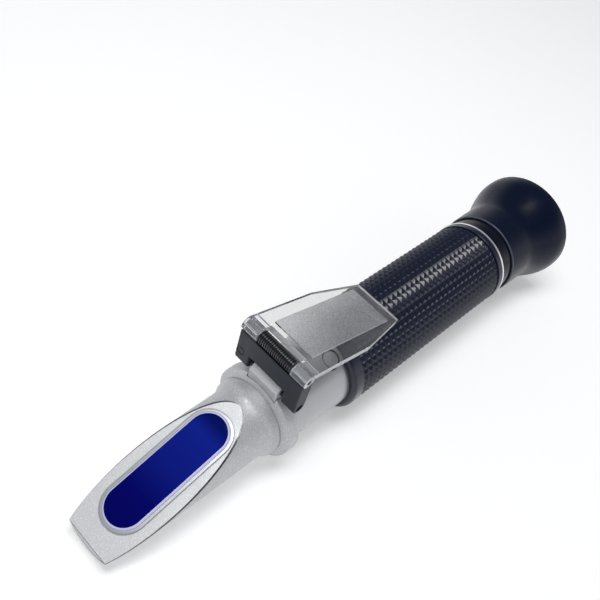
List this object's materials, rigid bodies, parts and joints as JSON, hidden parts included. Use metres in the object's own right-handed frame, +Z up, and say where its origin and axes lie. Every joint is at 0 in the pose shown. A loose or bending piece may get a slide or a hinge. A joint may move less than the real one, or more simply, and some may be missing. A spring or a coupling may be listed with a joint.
{
  "type": "hand refractometer",
  "caption": "Hand-held coolant refractometer: slanted prism nose, link-hinged daylight plate folded back, ribbed barrel grip and soft focusing eyecup.",
  "frame": {"origin": "centre of the eyecup's rim, on the optical axis", "axes": "+X along the optical axis to the nose, +Z up to the side of the prism and the daylight plate"},
  "size_m": [0.2008, 0.0396, 0.0504],
  "materials": {
    "cast_alloy": "satin casting with a fine grain",
    "barrel_alloy": "satin",
    "prism_glass": "deep blue optical glass",
    "seal_metal": "satin metal frame",
    "pin_steel": "ground pin",
    "link_plastic": "dark charcoal, fine matte",
    "clear_plastic": "clear acrylic with a frosted pad",
    "grip_rubber": "navy black rubber with a pyramid grain",
    "bright_ring": "bright turned",
    "black_plastic": "glossy black",
    "eyecup_rubber": "soft satin navy black",
    "brass_trim": "turned brass",
    "screw_steel": "zinc plated",
    "bimetal": "rolled strip",
    "cell_alloy": "black anodised",
    "lens_glass": "polished"
  },
  "bodies": {
    "housing": {"prism_housing": "cast_alloy", "main_prism": "prism_glass", "prism_seal": "seal_metal", "link_pin": "pin_steel", "barrel": "barrel_alloy", "calibration_bush": "brass_trim", "grip_sleeve": "grip_rubber", "grip_end_ring": "bright_ring", "reticle_cell": "cell_alloy", "reticle": "lens_glass", "reticle_ring": "cell_alloy", "eyepiece_housing": "black_plastic", "guide_pin": "pin_steel"},
    "calibration_screw": {"calibration_screw": "screw_steel", "screw_clip": "screw_steel"},
    "lens_carrier": {"carrier_block": "brass_trim", "bimetal_strip": "bimetal", "strip_screws": "screw_steel", "lens_cell": "cell_alloy", "objective_lens": "lens_glass"},
    "hinge_link": {"hinge_link": "link_plastic", "plate_pin": "pin_steel"},
    "daylight_plate": {"daylight_plate": "clear_plastic"},
    "eyepiece_slide": {"eyepiece_tube": "cell_alloy", "field_lens": "lens_glass", "lens_spacer": "cell_alloy", "eye_lens": "lens_glass", "lens_retainer": "cell_alloy"},
    "eyepiece_turn": {"focus_ring": "cell_alloy", "retaining_ring": "brass_trim", "eyecup": "eyecup_rubber"}
  },
  "joints": [
    {"name": "link_hinge", "type": "hinge", "parent": "housing", "child": "hinge_link", "pos_m": [0.1413, 0, 0.0158], "axis": [0, 1, 0], "range_deg": [0, 97.2]},
    {"name": "plate_hinge", "type": "hinge", "parent": "hinge_link", "child": "daylight_plate", "pos_m": [0.1413, 0, 0.0284], "axis": [0, 1, 0], "range_deg": [0, 119.14]},
    {"name": "focus_slide", "type": "slide", "parent": "housing", "child": "eyepiece_slide", "axis": [1, 0, 0], "range_m": [-0.002, 0.002]},
    {"name": "focus_turn", "type": "hinge", "parent": "eyepiece_slide", "child": "eyepiece_turn", "pos_m": [0, 0, 0], "axis": [1, 0, 0], "range_deg": [-180, 180]},
    {"name": "calibration_turn", "type": "hinge", "parent": "housing", "child": "calibration_screw", "pos_m": [0.1198, 0, 0], "axis": [0, 0.3746, 0.9272], "range_deg": [-180.5, 180.5]},
    {"name": "carrier_slide", "type": "slide", "parent": "housing", "child": "lens_carrier", "axis": [0, 0.3746, 0.9272], "range_m": [-0.00025, 0.00025]}
  ],
  "couplings": [
    {"joint": "focus_slide", "follows": "focus_turn", "m_per_rad": 0.000636},
    {"joint": "calibration_turn", "follows": "carrier_slide", "rad_per_m": 12566}
  ]
}
